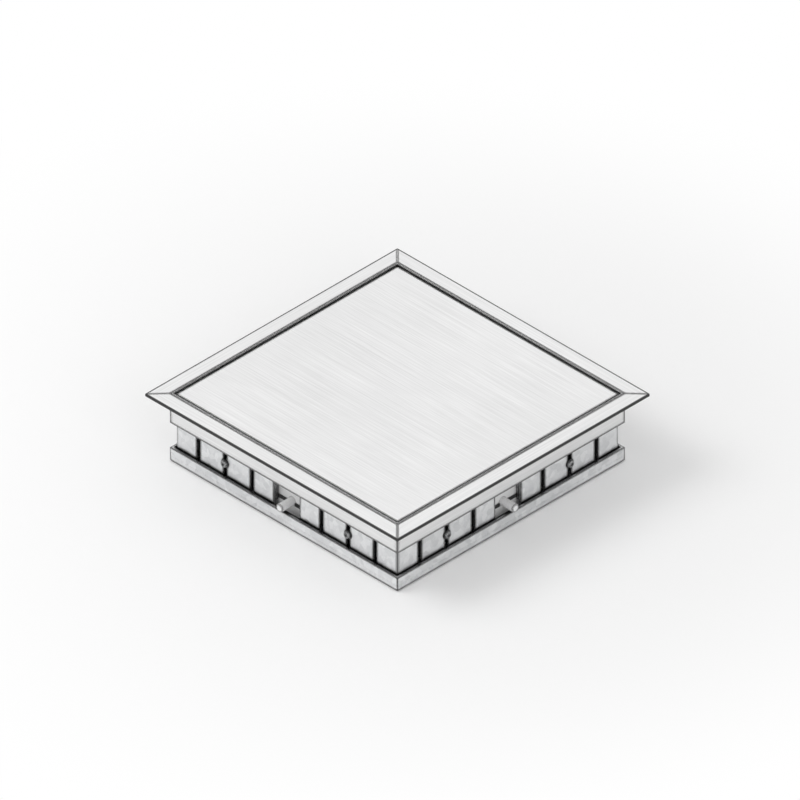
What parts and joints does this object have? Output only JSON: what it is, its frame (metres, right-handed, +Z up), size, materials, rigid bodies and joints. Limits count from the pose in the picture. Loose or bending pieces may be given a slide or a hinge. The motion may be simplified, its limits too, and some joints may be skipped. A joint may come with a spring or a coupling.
{
  "type": "floor box",
  "caption": "Square height-adjustable floor box: mitred trim and lift-off lid on a frame that slides over a slotted side wall in a base tray, with socket and data inserts inside.",
  "frame": {"origin": "centre of the base tray's underside", "axes": "+Z up to the lid, +Y to the power carrier (back), +X to the right"},
  "size_m": [0.325, 0.325, 0.075],
  "materials": {
    "stainless": "brushed stainless steel",
    "galvanised": "galvanised sheet steel",
    "zinc": "zinc plated",
    "seal_grey": "moulded, matt",
    "plug_grey": "moulded, satin",
    "gasket_black": "foam rubber",
    "insert_white": "moulded, satin",
    "brass": "turned"
  },
  "bodies": {
    "base": {"base_tray": "galvanised", "side_wall": "galvanised", "tray_studs": "zinc", "stud_nuts": "zinc", "entry_bracket_front": "galvanised", "entry_bracket_right": "galvanised", "entry_bracket_back": "galvanised", "entry_bracket_left": "galvanised", "entry_seal_front": "seal_grey", "entry_seal_right": "seal_grey", "entry_seal_back": "seal_grey", "entry_seal_left": "seal_grey", "power_carrier": "galvanised", "data_carrier": "galvanised", "power_socket_1": "insert_white", "power_socket_2": "insert_white", "power_socket_3": "insert_white", "socket_earth_clips": "brass", "data_outlet_1": "insert_white", "data_outlet_2": "insert_white", "blank_insert": "insert_white", "earth_stud": "brass", "earth_nuts": "brass"},
    "frame": {"upper_frame": "stainless", "clamp_sleeve": "galvanised", "trim_front": "stainless", "trim_right": "stainless", "trim_back": "stainless", "trim_left": "stainless", "trim_rivets": "zinc", "corner_gusset_1": "galvanised", "corner_gusset_2": "galvanised", "corner_gusset_3": "galvanised", "corner_gusset_4": "galvanised", "clamp_screws": "zinc", "clamp_washers": "zinc", "clamp_nuts": "zinc", "lid_gasket": "gasket_black"},
    "lid": {"lid_pan": "stainless", "lid_rib_1": "galvanised", "lid_rib_2": "galvanised", "lid_rib_3": "galvanised"},
    "jack_1": {"levelling_screw_1": "zinc"},
    "jack_2": {"levelling_screw_2": "zinc"},
    "jack_3": {"levelling_screw_3": "zinc"},
    "jack_4": {"levelling_screw_4": "zinc"},
    "plug_front": {"blanking_plug_front": "plug_grey"},
    "plug_right": {"blanking_plug_right": "plug_grey"},
    "plug_back": {"blanking_plug_back": "plug_grey"},
    "plug_left": {"blanking_plug_left": "plug_grey"}
  },
  "joints": [
    {"name": "frame_height", "type": "slide", "parent": "base", "child": "frame", "axis": [0, 0, 1], "range_m": [-0.005, 0.008]},
    {"name": "lid_lift", "type": "slide", "parent": "frame", "child": "lid", "axis": [0, 0, 1], "range_m": [0, 0.15]},
    {"name": "jack_1_turn", "type": "hinge", "parent": "base", "child": "jack_1", "pos_m": [0.129, -0.129, 0.0045], "axis": [0, 0, 1], "range_deg": [-2882, 1802]},
    {"name": "jack_2_turn", "type": "hinge", "parent": "base", "child": "jack_2", "pos_m": [0.129, 0.129, 0.0045], "axis": [0, 0, 1], "range_deg": [-2882, 1802]},
    {"name": "jack_3_turn", "type": "hinge", "parent": "base", "child": "jack_3", "pos_m": [-0.129, 0.129, 0.0045], "axis": [0, 0, 1], "range_deg": [-2882, 1802]},
    {"name": "jack_4_turn", "type": "hinge", "parent": "base", "child": "jack_4", "pos_m": [-0.129, -0.129, 0.0045], "axis": [0, 0, 1], "range_deg": [-2882, 1802]},
    {"name": "plug_front_pull", "type": "slide", "parent": "base", "child": "plug_front", "axis": [0, -1, 0], "range_m": [0, 0.03]},
    {"name": "plug_right_pull", "type": "slide", "parent": "base", "child": "plug_right", "axis": [1, 0, 0], "range_m": [0, 0.03]},
    {"name": "plug_back_pull", "type": "slide", "parent": "base", "child": "plug_back", "axis": [0, 1, 0], "range_m": [0, 0.03]},
    {"name": "plug_left_pull", "type": "slide", "parent": "base", "child": "plug_left", "axis": [-1, 0, 0], "range_m": [0, 0.03]}
  ],
  "couplings": [
    {"joint": "jack_1_turn", "follows": "frame_height", "rad_per_m": -6283.2},
    {"joint": "jack_2_turn", "follows": "frame_height", "rad_per_m": -6283.2},
    {"joint": "jack_3_turn", "follows": "frame_height", "rad_per_m": -6283.2},
    {"joint": "jack_4_turn", "follows": "frame_height", "rad_per_m": -6283.2}
  ]
}
